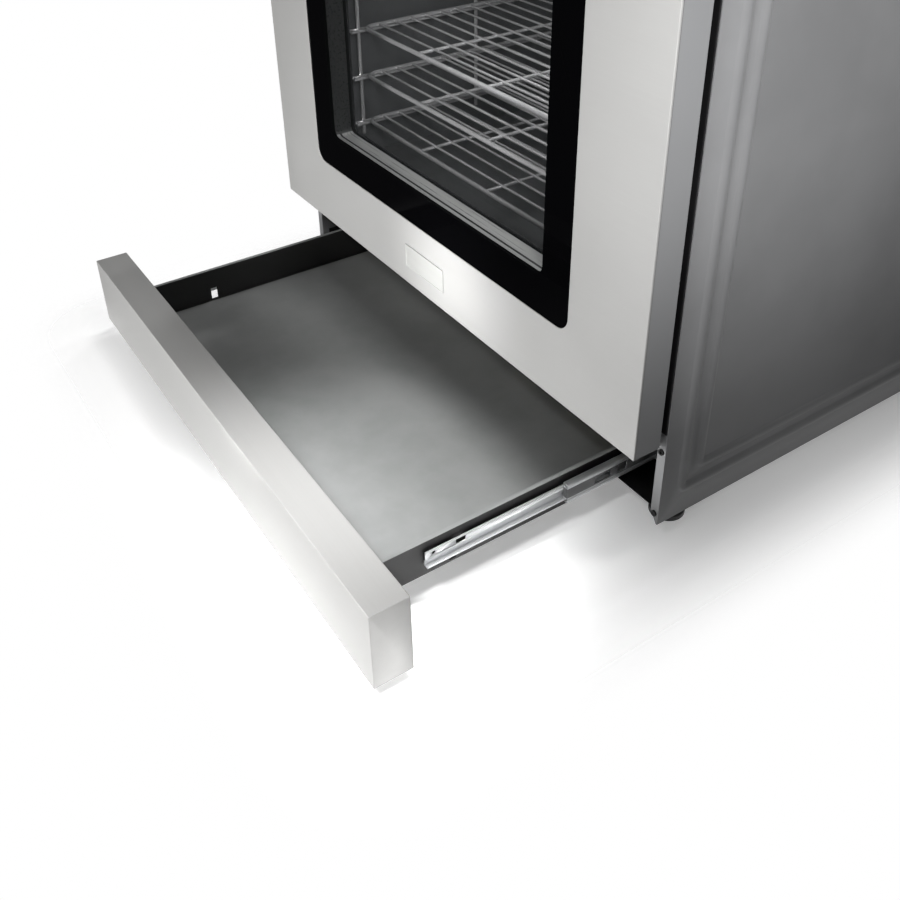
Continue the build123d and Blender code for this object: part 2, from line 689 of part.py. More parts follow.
stem_radius = 4.0
stem_tip = door_face - 22.0
stem_root = door_face + 12.0
knob_back, knob_face = door_face - 4.5, door_face - 33.0
for number, x in enumerate(knob_xs, start=1):
    with BuildPart() as valve_stem:
        rod((x, stem_root, knob_z), (x, stem_tip, knob_z), stem_radius)
        block((x - 5, x + 5), (stem_tip - 1, door_face + 1), (knob_z + 2.6, knob_z + 6), Mode.SUBTRACT)
    save(valve_stem, f"valve_stem_{number}")

    with BuildPart() as knob:
        with BuildSketch(Plane(origin=(x, knob_back, knob_z), z_dir=(0, -1, 0))):
            Circle(22)
        extrude(amount=knob_back - knob_face, taper=3)
        fillet(knob.faces().sort_by(Axis.Y)[0].edges(), radius=2)
        block((x - 2, x + 2), (knob_face - 1, knob_face + 2.4), (knob_z + 5, knob_z + 24), Mode.SUBTRACT)
        bore_end = stem_tip - knob_push - 1.5
        rod((x, knob_back + 1, knob_z), (x, bore_end, knob_z), stem_radius + 0.08, Mode.SUBTRACT)
        block((x - 4, x + 4), (bore_end + 0.5, knob_back - 0.5), (knob_z + 2.7, knob_z + 6))
    save(knob, f"knob_{number}")

with BuildPart() as knob_bezels:
    for x in knob_xs:
        with BuildPart(mode=Mode.PRIVATE) as bezel:
            rod((x, door_face - 0.05, knob_z), (x, door_face - 7, knob_z), 29)
            fillet(bezel.edges().group_by(Axis.Y)[0], radius=2.5)
            rod((x, door_face + 1, knob_z), (x, door_face - 8, knob_z), 24, Mode.SUBTRACT)
        add(bezel.part)
save(knob_bezels, "knob_bezels")

pipe_y = front + 14.0
with BuildPart() as gas_valves:
    for x in knob_xs:
        with BuildPart(mode=Mode.PRIVATE) as valve:
            block((x - 11, x + 11), (stem_root - 8, pipe_y - 9.4), (knob_z - 12, knob_z + 12))
            rod((x, stem_root + 0.2, knob_z), (x, stem_root - 10, knob_z), stem_radius + 0.08, Mode.SUBTRACT)
            rod((x, door_face + 28, knob_z - 11), (x, door_face + 28, knob_z - 22), 5)
        add(valve.part)
save(gas_valves, "gas_valves")

feed_x = 352.0
inlet_radius = 9.5
with BuildPart() as gas_piping:
    rod((-330, pipe_y, knob_z), (feed_x + 9, pipe_y, knob_z), 9)
    with BuildPart(mode=Mode.PRIVATE) as feed_pipe:
        with BuildLine() as feed_run:
            FilletPolyline(
                (feed_x - 6, pipe_y + 9.1, knob_z),
                (feed_x - 6, rear - 70, knob_z),
                (287, rear - 70, knob_z),
                radius=22,
            )
        with BuildSketch(Plane(origin=feed_run.line @ 0, z_dir=(0, 1, 0))):
            Circle(8)
        sweep(path=feed_run.wire())
    add(feed_pipe.part)
    tube_starts = (knob_xs[0], knob_xs[1], knob_xs[4], knob_xs[3])
    for (x, y), start_x in zip(burner_spots, tube_starts):
        tube_z = knob_z - 26 - 14 * (abs(start_x) < 200)
        with BuildPart(mode=Mode.PRIVATE) as supply_tube:
            with BuildLine() as tube_run:
                FilletPolyline(
                    (start_x, door_face + 28, tube_z),
                    (start_x, y - 60, tube_z),
                    (x, y, tube_z),
                    (x, y, pan_floor - 31),
                    radius=10,
                )
            with BuildSketch(Plane(origin=tube_run.line @ 0, z_dir=(0, 1, 0))):
                Circle(3.5)
            sweep(path=tube_run.wire())
        add(supply_tube.part)
save(gas_piping, "gas_piping")

with BuildPart() as pressure_regulator:
    block((215, 286.9), (rear - 92, rear - 48), (knob_z - 22, knob_z + 18))
    with Locations((250, rear - 70, knob_z + 18)):
        Cylinder(16, 14, align=(Align.CENTER, Align.CENTER, Align.MIN))
    rod((250, rear - 50, 838), (250, rear, 838), 15)
    rod((250, rear - 20, 838), (250, rear + 1, 838), inlet_radius, Mode.SUBTRACT)
save(pressure_regulator, "pressure_regulator")
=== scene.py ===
import json
import math

import bmesh
import bpy
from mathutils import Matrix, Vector


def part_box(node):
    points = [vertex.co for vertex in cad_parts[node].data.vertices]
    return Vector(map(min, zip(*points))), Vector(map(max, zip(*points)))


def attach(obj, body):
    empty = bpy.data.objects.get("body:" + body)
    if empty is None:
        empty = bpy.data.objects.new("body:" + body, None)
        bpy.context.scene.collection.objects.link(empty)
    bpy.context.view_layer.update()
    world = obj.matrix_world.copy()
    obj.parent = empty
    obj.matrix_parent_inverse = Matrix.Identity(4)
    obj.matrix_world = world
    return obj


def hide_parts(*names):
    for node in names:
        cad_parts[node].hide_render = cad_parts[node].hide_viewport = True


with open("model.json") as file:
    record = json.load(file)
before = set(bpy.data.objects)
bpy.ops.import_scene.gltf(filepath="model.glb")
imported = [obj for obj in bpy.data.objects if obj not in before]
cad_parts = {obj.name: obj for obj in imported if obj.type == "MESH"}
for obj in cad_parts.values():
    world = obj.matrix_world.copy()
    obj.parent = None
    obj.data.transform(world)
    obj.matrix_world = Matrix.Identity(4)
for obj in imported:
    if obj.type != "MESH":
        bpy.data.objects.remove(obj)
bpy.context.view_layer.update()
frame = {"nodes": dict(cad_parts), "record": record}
nodes = frame["nodes"]
print("frame loaded:", len(nodes), "nodes")

scene = bpy.context.scene
bodyOf = {node: body for body, members in frame["record"]["behaviour"]["bodies"].items() for node in members}
slotOf = {part["node"]: part["material_slot"] for part in frame["record"]["subparts"]}

cameraLook = dict(
    place=(0.91494, -0.75594, 0.79385),
    turn=(58.3216, 0.7561, 56.2824),
    lens=40.66,
    shiftUp=-0.1672,
)

cameraData = bpy.data.cameras.new("kitchenCamera")
cameraData.lens = cameraLook["lens"]
cameraData.sensor_width = 36
cameraData.shift_y = cameraLook["shiftUp"]
cameraData.clip_start = 0.02
camera = bpy.data.objects.new("kitchenCamera", cameraData)
camera.location = cameraLook["place"]
camera.rotation_euler = [math.radians(a) for a in cameraLook["turn"]]
scene.collection.objects.link(camera)
scene.camera = camera

# name, place, the spot it is aimed at, size, watts
softBoxes = [
    ("lowFront", (0.0, -2.4, 0.35), (0.0, -0.2, 0.3), (1.2, 0.4), 62),
    ("aboveLeft", (-0.6, 0.2, 2.5), (-0.1, -0.4, 0.0), (0.5, 0.5), 11.7),
]
# name, place, the spot it is aimed at, cone in degrees, lamp radius, watts
spotLamps = [
    ("doorSpot", (-0.35, -1.3, 0.7), (-0.2, -0.19, 0.22), 32, 0.15, 23.5),
    ("railSpot", (0.2, -1.0, 0.17), (0.05, -0.19, 0.2), 16, 0.06, 52),
    ("drawerEndSpot", (1.3, -0.9, 0.15), (0.38, -0.46, 0.07), 22, 0.1, 40),
    ("drawerTopSpot", (0.62, -1.0, 1.2), (0.31, -0.49, 0.09), 27, 0.1, 62),
    ("drawerFaceSpot", (0.1, -1.9, 0.4), (0.1, -0.49, 0.06), 20, 0.15, 50),
    ("sideSpot", (1.6, -0.1, 1.5), (0.38, 0.05, 0.62), 30, 0.15, 126),
    ("sideHighSpot", (1.5, 0.1, 2.2), (0.38, 0.1, 0.78), 26, 0.25, 38),
    ("doorEdgeSpot", (1.6, -0.9, 1.2), (0.38, -0.21, 0.52), 20, 0.15, 155),
    ("trayNearSpot", (0.42, -0.31, 1.6), (0.16, -0.37, 0.04), 18, 0.05, 75),
    ("beadGraze", (0.62, -1.7, 0.9), (0.38, -0.05, 0.45), 30, 0.08, 14),
    ("topSpot", (0.25, 0.25, 2.3), (0.15, -0.42, 0.04), 24, 0.15, 57),
    ("traySpot", (0.45, -0.1, 1.9), (0.19, -0.36, 0.04), 16, 0.1, 135),
    ("ovenLamp", (0.05, -0.11, 0.59), (0.0, 0.05, 0.25), 160, 0.03, 3.4),
    ("backSpot", (-0.9, 3.0, 1.3), (0.0, 0.49, 0.45), 34, 0.2, 260),
    ("leftSpot", (-2.2, 2.3, 1.3), (-0.38, 0.25, 0.52), 30, 0.2, 250),
]


def hangLamp(name, kind, place, aim, watts):
    lamp = bpy.data.lights.new(name, kind)
    lamp.energy = watts
    holder = bpy.data.objects.new(name, lamp)
    holder.location = place
    holder.rotation_euler = (Vector(aim) - Vector(place)).to_track_quat("-Z", "Y").to_euler()
    holder.visible_camera = False
    scene.collection.objects.link(holder)
    return lamp


for name, place, aim, size, watts in softBoxes:
    lamp = hangLamp(name, "AREA", place, aim, watts)
    lamp.shape = "RECTANGLE"
    lamp.size, lamp.size_y = size
for name, place, aim, cone, radius, watts in spotLamps:
    lamp = hangLamp(name, "SPOT", place, aim, watts)
    lamp.spot_size = math.radians(cone)
    lamp.spot_blend = 1.0
    lamp.shadow_soft_size = radius

# a white backdrop, while only a little light comes from all round
scene.view_settings.view_transform = "Standard"
worldLook = dict(fill=0.1, backdrop=1.0)
world = bpy.data.worlds.new("studio")
world.use_nodes = True
worldNodes, worldLinks = world.node_tree.nodes, world.node_tree.links
background = worldNodes["Background"]
background.inputs["Color"].default_value = (1, 1, 1, 1)
seen = worldNodes.new("ShaderNodeLightPath")
level = worldNodes.new("ShaderNodeMapRange")
level.inputs["To Min"].default_value = worldLook["fill"]
level.inputs["To Max"].default_value = worldLook["backdrop"]
worldLinks.new(seen.outputs["Is Camera Ray"], level.inputs["Value"])
worldLinks.new(level.outputs[0], background.inputs["Strength"])
scene.world = world
print("set the camera and", len(softBoxes) + len(spotLamps), "lamps")


# shader maths: a socket that adds its own nodes when it is used in an expression
class Signal:
    def __init__(self, paint, socket):
        self.paint = paint
        self.socket = socket

    def math(self, operation, *values):
        return self.paint.node("ShaderNodeMath", dict(operation=operation), dict(enumerate(values)))

    def __add__(self, other):
        return self.math("ADD", self, other)

    def __sub__(self, other):
        return self.math("SUBTRACT", self, other)

    def __rsub__(self, other):
        return self.math("SUBTRACT", other, self)

    def __mul__(self, other):
        return self.math("MULTIPLY", self, other)

    def __gt__(self, other):
        return self.math("GREATER_THAN", self, other)

    def __lt__(self, other):
        return self.math("LESS_THAN", self, other)

    def __abs__(self):
        return self.math("ABSOLUTE", self)

    __radd__ = __add__
    __rmul__ = __mul__

    def most(self, other):
        return self.math("MAXIMUM", self, other)

    def root(self):
        return self.math("SQRT", self)

    def ease(self, low, high, lowValue=0.0, highValue=1.0):
        settings = dict(interpolation_type="SMOOTHSTEP")
        values = {"Value": self, "From Min": low, "From Max": high, "To Min": lowValue, "To Max": highValue}
        return self.paint.node("ShaderNodeMapRange", settings, values)


class Paint:
    def __init__(self, name):
        self.material = bpy.data.materials.new(name)
        self.material.use_nodes = True
        self.tree = self.material.node_tree
        self.tree.nodes.clear()
        self.place = self.node("ShaderNodeTexCoord", out="Object")
        parts = self.tree.nodes.new("ShaderNodeSeparateXYZ")
        self.tree.links.new(self.place.socket, parts.inputs[0])
        self.x, self.y, self.z = [Signal(self, s) for s in parts.outputs]

    def node(self, kind, settings=None, values=None, out=0):
        made = self.tree.nodes.new(kind)
        for key, value in (settings or {}).items():
            setattr(made, key, value)
        for key, value in (values or {}).items():
            if isinstance(value, Signal):
                self.tree.links.new(value.socket, made.inputs[key])
            else:
                made.inputs[key].default_value = value
        return Signal(self, made.outputs[out])

    def stretched(self, scale):
        return self.node("ShaderNodeMapping", None, {"Vector": self.place, "Scale": scale})

    def speckle(self, scale, detail=2.0, rough=0.5, where=None):
        values = {"Vector": where or self.place, "Scale": scale, "Detail": detail, "Roughness": rough}
        return self.node("ShaderNodeTexNoise", None, values)

    def cells(self, scale):
        return self.node("ShaderNodeTexVoronoi", None, {"Vector": self.place, "Scale": scale})

    def blendColour(self, factor, first, second):
        return self.node("ShaderNodeMix", dict(data_type="RGBA"), {0: factor, 6: first, 7: second}, out=2)

    def grey(self, factor, dark, light):
        return self.blendColour(factor, (*dark, 1), (*light, 1))

    def relief(self, height, strength, distance):
        values = {"Height": height, "Strength": strength, "Distance": distance}
        return self.node("ShaderNodeBump", None, values)

    def finish(self, **values):
        names = dict(
            colour="Base Color", metal="Metallic", rough="Roughness", normal="Normal", alpha="Alpha", ior="IOR",
            gloss="Specular IOR Level", glow="Emission Color", glowPower="Emission Strength", sheen="Sheen Weight",
        )
        shader = self.node("ShaderNodeBsdfPrincipled", None, {names[k]: v for k, v in values.items()})
        self.tree.links.new(shader.socket, self.tree.nodes.new("ShaderNodeOutputMaterial").inputs[0])
        return self.material


def brushed(name, light, dark, grain, rough, metal, streakDepth=0.35, bumpy=0.1):
    paint = Paint(name)
    lines = paint.speckle(1.0, 4.0, 0.7, paint.stretched(grain))
    wide = paint.speckle(1.0, 2.0, 0.5, paint.stretched([g * 0.12 for g in grain]))
    clouds = paint.speckle(5.0, 3.0)
    streak = lines * streakDepth + wide * 0.3 + clouds * 0.35
    return paint.finish(
        colour=paint.grey(streak.ease(0.3, 0.75), dark, light),
        metal=metal,
        rough=streak.ease(0.25, 0.8, *rough),
        normal=paint.relief(lines, bumpy, 0.00004),
    )


def coated(name, light, dark, rough):
    paint = Paint(name)
    dust = paint.speckle(9.0, 4.0, 0.6)
    peel = paint.speckle(600.0, 2.0)
    return paint.finish(
        colour=paint.grey(dust.ease(0.3, 0.7), dark, light),
        rough=dust.ease(0.25, 0.75, *rough),
        normal=paint.relief(peel, 0.12, 0.0002),
    )


def plated(name, light, dark, rough, scratch=(900.0, 30.0, 900.0)):
    paint = Paint(name)
    wear = paint.speckle(40.0, 5.0, 0.65)
    scratches = paint.speckle(1.0, 3.0, 0.6, paint.stretched(scratch))
    return paint.finish(
        colour=paint.grey(wear.ease(0.35, 0.65), dark, light),
        metal=1.0,
        rough=(wear * 0.6 + scratches * 0.4).ease(0.3, 0.7, *rough),
        normal=paint.relief(scratches, 0.08, 0.00005),
    )


def enamelled(name, base, fleck, rough):
    paint = Paint(name)
    flecks = paint.cells(900.0).ease(0.12, 0.3)
    waves = paint.speckle(30.0, 2.0)
    return paint.finish(
        colour=paint.grey(flecks, fleck, base),
        rough=waves.ease(0.3, 0.7, *rough),
        gloss=0.6,
        normal=paint.relief(waves, 0.02, 0.0006),
    )


def castIron(name):
    paint = Paint(name)
    grit = paint.speckle(420.0, 5.0, 0.7)
    patches = paint.speckle(14.0, 3.0)
    return paint.finish(
        colour=paint.grey(patches.ease(0.3, 0.7), (0.018, 0.018, 0.019), (0.036, 0.036, 0.038)),
        rough=(patches * 0.5 + grit * 0.5).ease(0.3, 0.7, 0.42, 0.66),
        metal=0.15,
        normal=paint.relief(grit, 0.5, 0.0006),
    )


# the door glass is printed black all round its window
windowLook = dict(middleZ=0.438, halfX=0.224, halfZ=0.166, corner=0.012, fade=0.0006)


def printedGlass(name, tint, clear):
    look, paint = windowLook, Paint(name)
    outX = (abs(paint.x) - (look["halfX"] - look["corner"])).most(0.0)
    outZ = (abs(paint.z - look["middleZ"]) - (look["halfZ"] - look["corner"])).most(0.0)
    printed = (outX * outX + outZ * outZ).root().ease(look["corner"] - look["fade"], look["corner"])
    haze = paint.speckle(6.0, 3.0)
    return paint.finish(
        colour=paint.grey(printed, tint, (0.0009, 0.0009, 0.0011)),
        rough=haze.ease(0.3, 0.7, 0.02, 0.05),
        alpha=printed.ease(0.0, 1.0, clear, 1.0),
        gloss=0.05,
        ior=1.2,
    )


def clearGlass(name, tint, clear):
    paint = Paint(name)
    haze = paint.speckle(8.0, 3.0)
    return paint.finish(
        colour=(*tint, 1), rough=haze.ease(0.3, 0.7, 0.02, 0.06), alpha=haze.ease(0.0, 1.0, clear, clear + 0.04)
    )


def wool(name):
    paint = Paint(name)
    fibres = paint.speckle(260.0, 6.0, 0.75)
    return paint.finish(
        colour=paint.grey(fibres.ease(0.3, 0.7), (0.42, 0.36, 0.2), (0.78, 0.7, 0.45)),
        rough=0.95,
        sheen=0.3,
        normal=paint.relief(fibres, 0.9, 0.002),
    )


def rope(name):
    paint = Paint(name)
    values = {"Vector": paint.place, "Scale": 160.0, "Distortion": 3.0}
    weave = paint.node("ShaderNodeTexWave", None, values, out="Fac")
    return paint.finish(
        colour=paint.grey(weave, (0.09, 0.09, 0.09), (0.3, 0.29, 0.27)),
        rough=0.9,
        normal=paint.relief(weave, 0.6, 0.0008),
    )


def moulded(name, light, dark, rough):
    paint = Paint(name)
    grain = paint.cells(1500.0)
    marks = paint.speckle(60.0, 3.0)
    return paint.finish(
        colour=paint.grey(marks, dark, light),
        rough=marks.ease(0.3, 0.7, *rough),
        normal=paint.relief(grain, 0.15, 0.0002),
    )


def spangled(name, light, dark, rough):
    paint = Paint(name)
    bent = paint.speckle(18.0, 2.0)
    flakes = paint.cells(95.0)
    shine = flakes * 0.5 + bent * 0.5
    return paint.finish(
        colour=paint.grey(shine.ease(0.25, 0.75), dark, light),
        metal=0.75,
        rough=shine.ease(0.2, 0.8, *rough),
        normal=paint.relief(flakes, 0.05, 0.0002),
    )


# the cooktop's rim is brushed steel and its sunken pan is black enamel
deckLook = dict(panHalfX=0.356, panMiddleY=0.1455, panHalfY=0.282, rimTop=0.9132)


def deckPaint(name):
    look, paint = deckLook, Paint(name)
    lines = paint.speckle(1.0, 4.0, 0.7, paint.stretched((6.0, 700.0, 700.0)))
    clouds = paint.speckle(5.0, 3.0)
    streak = lines * 0.5 + clouds * 0.5
    insideX = abs(paint.x) < look["panHalfX"]
    insideY = abs(paint.y - look["panMiddleY"]) < look["panHalfY"]
    sunken = insideX * insideY * (paint.z < look["rimTop"])
    metalColour = paint.grey(streak.ease(0.3, 0.7), (0.44, 0.435, 0.43), (0.62, 0.615, 0.6))
    flecks = paint.cells(900.0).ease(0.12, 0.3)
    panColour = paint.grey(flecks, (0.06, 0.06, 0.065), (0.012, 0.012, 0.013))
    return paint.finish(
        colour=paint.blendColour(sunken, metalColour, panColour),
        metal=1 - sunken,
        rough=streak.ease(0.25, 0.8, 0.26, 0.4) * (1 - sunken) + clouds.ease(0.3, 0.7, 0.36, 0.48) * sunken,
        normal=paint.relief(lines * (1 - sunken), 0.1, 0.00004),
    )


# the door's skin is steel in front and painted along its sides, with a thin seam between
doorLook = dict(frontEdge=-0.1905, sideFace=0.3766, seam=0.0005)


def doorPaint(name, light, dark, paintLight, paintDark):
    look, paint = doorLook, Paint(name)
    lines = paint.speckle(1.0, 4.0, 0.7, paint.stretched((7.0, 900.0, 900.0)))
    clouds = paint.speckle(5.0, 3.0)
    streak = lines * 0.4 + clouds * 0.6
    onSide = abs(paint.x) > look["sideFace"]
    painted = onSide * (paint.y > look["frontEdge"])
    seam = painted * (paint.y < look["frontEdge"] + look["seam"])
    steelColour = paint.grey(streak.ease(0.3, 0.75), dark, light)
    sideColour = paint.grey(clouds.ease(0.3, 0.7), paintDark, paintLight)
    edged = paint.blendColour(painted, steelColour, sideColour)
    return paint.finish(
        colour=paint.blendColour(seam, edged, (0.06, 0.06, 0.06, 1)),
        metal=(1 - painted) * 0.24,
        rough=streak.ease(0.25, 0.8, 0.5, 0.6) * (1 - painted) + painted * 0.4,
        normal=paint.relief(lines * (1 - painted), 0.08, 0.00004),
    )


# the tray's floor and rim are worn grey, and its walls are painted near-black as painted shade and painted dark
# reflection
trayLook = dict(floorHalf=0.3, floorTop=0.0395, rimDepth=0.0006)


def trayPaint(name):
    look, paint = trayLook, Paint(name)
    sheen = paint.speckle(12.0, 4.0, 0.6)
    rolled = paint.speckle(1.0, 3.0, 0.6, paint.stretched((900.0, 12.0, 900.0)))
    onFloor = (abs(paint.x) < look["floorHalf"]) * (paint.z < look["floorTop"])
    grey = onFloor.most(paint.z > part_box("drawer_tray")[1][2] - look["rimDepth"])
    greyColour = paint.grey(sheen.ease(0.3, 0.7), (0.2, 0.205, 0.203), (0.235, 0.24, 0.238))
    # the walls' near-black colour is painted shade and painted dark reflection; the floor and rim keep the grey
    # coating
    wallShadeColour = paint.grey(sheen.ease(0.3, 0.7), (0.0014, 0.0014, 0.0014), (0.0026, 0.0026, 0.0026))
    return paint.finish(
        colour=paint.blendColour(grey, wallShadeColour, greyColour),
        metal=grey * 0.1,
        rough=(sheen * 0.6 + rolled * 0.4).ease(0.3, 0.7, 0.46, 0.54),
        normal=paint.relief(rolled, 0.06, 0.00005),
    )


# the middle slide members have a web painted dark as a painted dark reflection, between bright rolled edges
middleLook = dict(edge=0.0068, edgeFade=0.0008, oiled=(0.2, 0.202, 0.205))
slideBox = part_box("slide_drawer_members")
slideHeight = (slideBox[0][2] + slideBox[1][2]) / 2


def middlePaint(name, light, dark):
    look, paint = middleLook, Paint(name)
    drawn = paint.speckle(1.0, 4.0, 0.7, paint.stretched((900.0, 5.0, 900.0)))
    webMottle = paint.speckle(30.0, 3.0)
    # the rolled edges keep the light zinc colour and the web between them gets the painted dark reflection
    rolled = abs(paint.z - slideHeight).ease(look["edge"] - look["edgeFade"], look["edge"])
    zinc = paint.grey(drawn.ease(0.3, 0.7), dark, light)
    web = paint.grey(webMottle.ease(0.3, 0.7), [0.6 * c for c in look["oiled"]], look["oiled"])
    return paint.finish(
        colour=paint.blendColour(rolled, web, zinc),
        metal=0.4 + rolled * 0.35,
        rough=drawn.ease(0.25, 0.8, 0.26, 0.38),
        normal=paint.relief(drawn, 0.04, 0.00004),
    )


# the window trim's uprights are painted dark as painted shade, and its steel sill has a painted shadow band along it
# where a groove would be
trimLook = dict(sillTop=0.2735, fade=0.0015, groove=(0.2, 0.32))


def trimPaint(name):
    look, paint = trimLook, Paint(name)
    front, back = [corner[1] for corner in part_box("door_window_frame")]
    grooveShadowFront, grooveShadowBack = [front + share * (back - front) for share in look["groove"]]
    drawn = paint.speckle(1.0, 4.0, 0.6, paint.stretched((6.0, 500.0, 500.0)))
    upright = paint.z.ease(look["sillTop"], look["sillTop"] + look["fade"])
    # painted shade: the uprights and a band along the sill take the dark colour
    paintedShadePart = upright.most((paint.y > grooveShadowFront) * (paint.y < grooveShadowBack))
    sill = paint.grey(drawn.ease(0.3, 0.7), (0.6, 0.61, 0.6), (0.68, 0.69, 0.68))
    jambShade = paint.grey(drawn.ease(0.3, 0.7), (0.02, 0.021, 0.021), (0.028, 0.029, 0.029))
    return paint.finish(
        colour=paint.blendColour(paintedShadePart, sill, jambShade),
        metal=(1 - paintedShadePart) * 0.6,
        rough=drawn.ease(0.3, 0.7, 0.26, 0.36),
        normal=paint.relief(drawn, 0.04, 0.00004),
    )


steel = ((0.322, 0.32, 0.314), (0.3, 0.298, 0.292))
along = (7.0, 900.0, 900.0)
finishes = dict(
    stainless=brushed("brushedDoorSteel", *steel, along, (0.5, 0.6), 0.24),
    doorSkin=doorPaint("doorSteelAndPaint", *steel, (0.2, 0.202, 0.206), (0.182, 0.184, 0.188)),
    stainlessBar=brushed(
        "satinBarSteel", (0.66, 0.655, 0.645), (0.5, 0.5, 0.49), (7.0, 700.0, 700.0), (0.18, 0.3), 0.9
    ),
    paintedSide=coated("greySidePaint", (0.18, 0.181, 0.184), (0.16, 0.161, 0.164), (0.3, 0.38)),
    paintedFrame=coated("blackFramePaint", (0.012, 0.012, 0.013), (0.006, 0.006, 0.006), (0.3, 0.45)),
    enamelBlack=enamelled("blackEnamel", (0.008, 0.008, 0.009), (0.05, 0.05, 0.055), (0.14, 0.18)),
    enamelGrey=enamelled("greyEnamel", (0.075, 0.077, 0.08), (0.09, 0.092, 0.096), (0.3, 0.42)),
    galvanised=spangled("galvanisedSheet", (0.42, 0.43, 0.435), (0.34, 0.348, 0.352), (0.38, 0.5)),
    zincSlide=brushed(
        "zincSlideSteel", (0.74, 0.75, 0.76), (0.66, 0.67, 0.68), (900.0, 5.0, 900.0), (0.26, 0.36), 0.75, 0.25, 0.04
    ),
    trayGrey=trayPaint("trayCoating"),
    glassOuter=printedGlass("printedDoorGlass", (0.012, 0.013, 0.013), 0.12),
    glassInner=clearGlass("innerDoorGlass", (0.02, 0.022, 0.022), 0.06),
    chromeWire=brushed(
        "chromeWire", (0.84, 0.84, 0.85), (0.74, 0.74, 0.75), (300.0, 300.0, 300.0), (0.22, 0.32), 0.6, 0.2, 0.03
    ),
    castBlack=castIron("castGrateIron"),
    burnerAlloy=plated("burnerAlloy", (0.5, 0.5, 0.5), (0.33, 0.33, 0.33), (0.35, 0.55), (300.0, 300.0, 300.0)),
    brass=plated("turnedBrass", (0.72, 0.53, 0.25), (0.5, 0.34, 0.14), (0.2, 0.35), (200.0, 900.0, 200.0)),
    steelPipe=plated("platedPipe", (0.6, 0.6, 0.6), (0.42, 0.42, 0.42), (0.28, 0.45)),
    screwDark=plated("blackenedScrew", (0.05, 0.05, 0.05), (0.02, 0.02, 0.02), (0.3, 0.45)),
    gasketRope=rope("gasketRope"),
    insulation=wool("mineralWool"),
    ceramic=moulded("igniterCeramic", (0.82, 0.8, 0.75), (0.62, 0.6, 0.55), (0.3, 0.5)),
    badge=brushed("badgeSteel", (0.4, 0.4, 0.39), (0.36, 0.36, 0.35), (30.0, 900.0, 900.0), (0.34, 0.42), 0.3),
    footBlack=moulded("footPlastic", (0.016, 0.016, 0.016), (0.008, 0.008, 0.008), (0.3, 0.5)),
    deck=deckPaint("deckSteelAndEnamel"),
    zincMiddle=middlePaint("oiledSlideSteel", (0.78, 0.79, 0.8), (0.68, 0.69, 0.7)),
    windowSteel=trimPaint("windowTrimSteel"),
)
# these nodes don't take the finish that their material slot names
partFinish = {"cooktop_deck": "deck", "door_window_frame": "windowSteel", "door_skin": "doorSkin"}


def finishOf(slot):
    first, *rest = slot.split("_")
    return first + "".join(word.title() for word in rest)


for node, slot in slotOf.items():
    nodes[node].data.materials.clear()
    nodes[node].data.materials.append(finishes[partFinish.get(node, finishOf(slot))])
print("made", len(finishes), "finishes")


# tools for making pieces: every mesh is made in its final place, in metres
def meshOf(name, work, sharp=32.0):
    mesh = bpy.data.meshes.new(name)
    work.to_mesh(mesh)
    work.free()
    mesh.shade_smooth()
    mesh.set_sharp_from_angle(angle=math.radians(sharp))
    return mesh


def pieceFrom(name, mesh, body, slot, stands=(), finish=None):
    piece = bpy.data.objects.new(name, mesh)
    scene.collection.objects.link(piece)
    mesh.materials.clear()
    mesh.materials.append(finishes[finish or finishOf(slot)])
    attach(piece, body)
    if stands:
        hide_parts(*stands)


def evaluatedMesh(holder, name):
    scene.collection.objects.link(holder)
    graph = bpy.context.evaluated_depsgraph_get()
    mesh = bpy.data.meshes.new_from_object(holder.evaluated_get(graph))
    mesh.name = name
    bpy.data.objects.remove(holder)
    return mesh


def joined(name, meshes, sharp=32.0):
    work = bmesh.new()
    for mesh in meshes:
        work.from_mesh(mesh)
    return meshOf(name, work, sharp)


def mergedCopy(node):
    work = bmesh.new()
    work.from_mesh(nodes[node].data)
    bmesh.ops.remove_doubles(work, verts=work.verts, dist=1e-6)
    bmesh.ops.dissolve_limit(
        work, angle_limit=math.radians(0.3), verts=work.verts, edges=work.edges, use_dissolve_boundaries=False
    )
    return work


def softened(node, width):
    holder = bpy.data.objects.new(node, meshOf(node, mergedCopy(node), 35.0))
    if width:
        edge = holder.modifiers.new("edge", "BEVEL")
        edge.width = width
        edge.segments = 2
        edge.limit_method = "ANGLE"
        edge.angle_limit = math.radians(40)
        edge.harden_normals = True
    mesh = evaluatedMesh(holder, node + "Soft")
    pieceFrom(node + "Soft", mesh, bodyOf[node], slotOf[node], (node,), partFinish.get(node))


def boxIn(work, low, high):
    middle = [(a + b) / 2 for a, b in zip(low, high)]
    for v in bmesh.ops.create_cube(work, size=1.0)["verts"]:
        v.co = Vector([m + c * (b - a) for m, c, a, b in zip(middle, v.co, low, high)])


def boxMesh(name, low, high):
    work = bmesh.new()
    boxIn(work, low, high)
    return meshOf(name, work)


def turnedIn(work, profile, centre, axis="Z", segments=48):
    rings = []
    for radius, along in profile:
        ring = []
        for count in range(segments if radius > 0 else 1):
            angle = 2 * math.pi * count / segments
            a, b = radius * math.cos(angle), radius * math.sin(angle)
            spot = (a, b, along) if axis == "Z" else (a, along, b)
            ring.append(work.verts.new([c + s for c, s in zip(centre, spot)]))
        rings.append(ring)
    faces = []
    for first, second in zip(rings, rings[1:]):
        for count in range(segments):
            after = (count + 1) % segments
            corners = [first[count % len(first)], first[after % len(first)]]
            corners += [second[after % len(second)], second[count % len(second)]]
            unique = list(dict.fromkeys(corners))
            if len(unique) > 2:
                faces.append(work.faces.new(unique))
    bmesh.ops.recalc_face_normals(work, faces=faces)


def turnedMesh(name, profile, centre, axis="Z", segments=48, sharp=40):
    work = bmesh.new()
    turnedIn(work, profile, centre, axis, segments)
    return meshOf(name, work, sharp)


